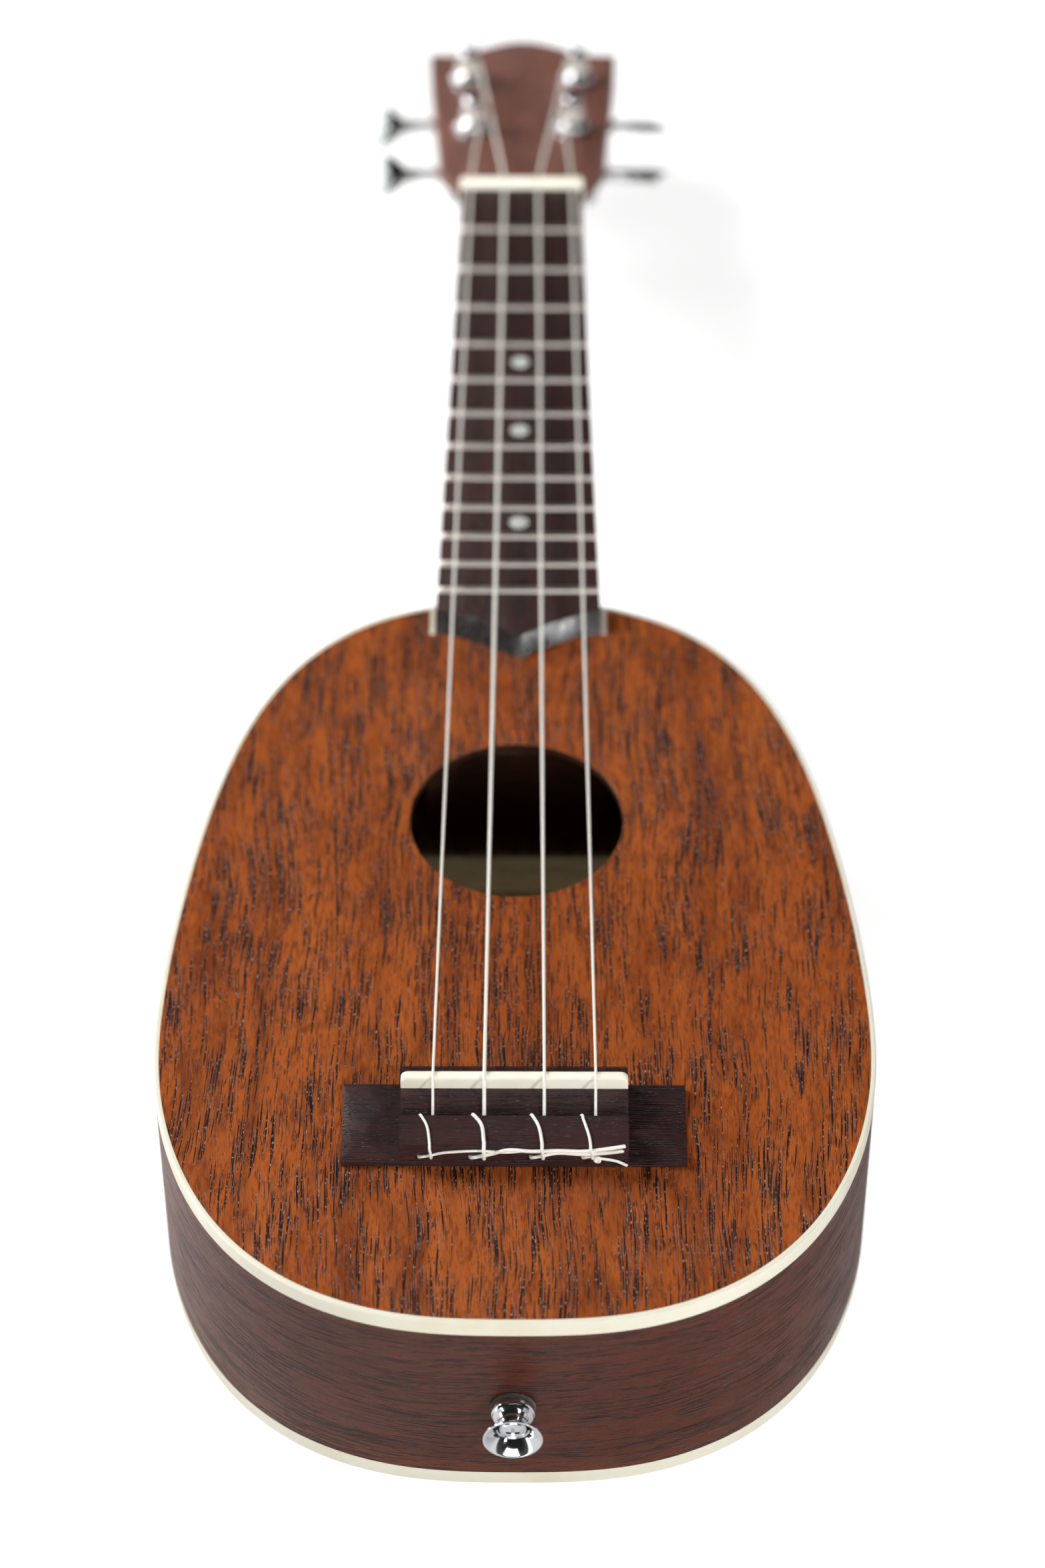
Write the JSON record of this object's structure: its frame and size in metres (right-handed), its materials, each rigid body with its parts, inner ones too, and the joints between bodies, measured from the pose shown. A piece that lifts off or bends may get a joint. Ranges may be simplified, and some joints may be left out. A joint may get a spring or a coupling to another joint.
{
  "type": "ukulele",
  "caption": "Small four-string plucked instrument: waistless oval wooden body with a round sound hole, bridge, fretted neck, and a tilted headstock with geared tuners.",
  "frame": {"origin": "on the outer face of the back, at the centre line, straight below the saddle (the line from which the scale length is measured)", "axes": "+Y from the tail to the headstock along the neck, +Z out of the soundboard, +X to the right seen from the front with the headstock up"},
  "size_m": [0.1708, 0.5317, 0.0722],
  "materials": {
    "mahogany_top": "satin, open-pored mahogany, orange-brown",
    "mahogany_side": "satin, dark red-brown mahogany",
    "mahogany_neck": "satin, red-brown mahogany",
    "inner_wood": "bare, unfinished",
    "rosewood": "oiled, dark",
    "cream_binding": "cream, semi-gloss",
    "bone": "cream, satin",
    "pearl": "off-white, glossy",
    "nylon": "translucent off-white",
    "fret_metal": "polished nickel silver",
    "chrome": "polished",
    "brass": "machined",
    "felt": "black felt"
  },
  "bodies": {
    "instrument": {"back_binding": "cream_binding", "back_lining": "inner_wood", "back_plate": "mahogany_top", "bridge": "rosewood", "dot_fret_05": "pearl", "dot_fret_07": "pearl", "dot_fret_10": "pearl", "fingerboard": "rosewood", "fret_01": "fret_metal", "fret_02": "fret_metal", "fret_03": "fret_metal", "fret_04": "fret_metal", "fret_05": "fret_metal", "fret_06": "fret_metal", "fret_07": "fret_metal", "fret_08": "fret_metal", "fret_09": "fret_metal", "fret_10": "fret_metal", "fret_11": "fret_metal", "fret_12": "fret_metal", "lower_back_brace": "inner_wood", "lower_top_brace": "inner_wood", "neck": "mahogany_neck", "neck_block": "inner_wood", "nut": "bone", "saddle": "bone", "side_rim": "mahogany_side", "soundboard": "mahogany_top", "strap_button": "chrome", "strap_screw": "chrome", "strap_washer": "felt", "string_a": "nylon", "string_c": "nylon", "string_e": "nylon", "string_g": "nylon", "tail_block": "inner_wood", "top_binding": "cream_binding", "top_lining": "inner_wood", "tuner_a_bushing": "chrome", "tuner_a_housing": "chrome", "tuner_c_bushing": "chrome", "tuner_c_housing": "chrome", "tuner_e_bushing": "chrome", "tuner_e_housing": "chrome", "tuner_g_bushing": "chrome", "tuner_g_housing": "chrome", "upper_back_brace": "inner_wood", "upper_top_brace": "inner_wood"},
    "tuner_g_knob": {"tuner_g_worm_shaft": "brass", "tuner_g_button": "chrome"},
    "tuner_g_spindle": {"tuner_g_post": "chrome"},
    "tuner_c_knob": {"tuner_c_worm_shaft": "brass", "tuner_c_button": "chrome"},
    "tuner_c_spindle": {"tuner_c_post": "chrome"},
    "tuner_e_knob": {"tuner_e_worm_shaft": "brass", "tuner_e_button": "chrome"},
    "tuner_e_spindle": {"tuner_e_post": "chrome"},
    "tuner_a_knob": {"tuner_a_worm_shaft": "brass", "tuner_a_button": "chrome"},
    "tuner_a_spindle": {"tuner_a_post": "chrome"}
  },
  "joints": [
    {"name": "tuner_g_turn", "type": "hinge", "parent": "instrument", "child": "tuner_g_knob", "pos_m": [-0.0152, 0.3941, 0.03355], "axis": [-0.9979, -0.064, 0.0136], "continuous": true},
    {"name": "tuner_g_wind", "type": "hinge", "parent": "instrument", "child": "tuner_g_spindle", "pos_m": [-0.0148, 0.39167, 0.05114], "axis": [0, 0.2079, 0.9781], "continuous": true},
    {"name": "tuner_c_turn", "type": "hinge", "parent": "instrument", "child": "tuner_c_knob", "pos_m": [-0.017, 0.42873, 0.02619], "axis": [-0.9979, -0.064, 0.0136], "continuous": true},
    {"name": "tuner_c_wind", "type": "hinge", "parent": "instrument", "child": "tuner_c_spindle", "pos_m": [-0.0166, 0.4263, 0.04378], "axis": [0, 0.2079, 0.9781], "continuous": true},
    {"name": "tuner_e_turn", "type": "hinge", "parent": "instrument", "child": "tuner_e_knob", "pos_m": [0.017, 0.42873, 0.02619], "axis": [0.9979, -0.064, 0.0136], "continuous": true},
    {"name": "tuner_e_wind", "type": "hinge", "parent": "instrument", "child": "tuner_e_spindle", "pos_m": [0.0166, 0.4263, 0.04378], "axis": [0, 0.2079, 0.9781], "continuous": true},
    {"name": "tuner_a_turn", "type": "hinge", "parent": "instrument", "child": "tuner_a_knob", "pos_m": [0.0152, 0.3941, 0.03355], "axis": [0.9979, -0.064, 0.0136], "continuous": true},
    {"name": "tuner_a_wind", "type": "hinge", "parent": "instrument", "child": "tuner_a_spindle", "pos_m": [0.0148, 0.39167, 0.05114], "axis": [0, 0.2079, 0.9781], "continuous": true}
  ],
  "couplings": [
    {"joint": "tuner_g_wind", "follows": "tuner_g_turn", "ratio": -0.071429},
    {"joint": "tuner_c_wind", "follows": "tuner_c_turn", "ratio": -0.071429},
    {"joint": "tuner_e_wind", "follows": "tuner_e_turn", "ratio": 0.071429},
    {"joint": "tuner_a_wind", "follows": "tuner_a_turn", "ratio": 0.071429}
  ]
}
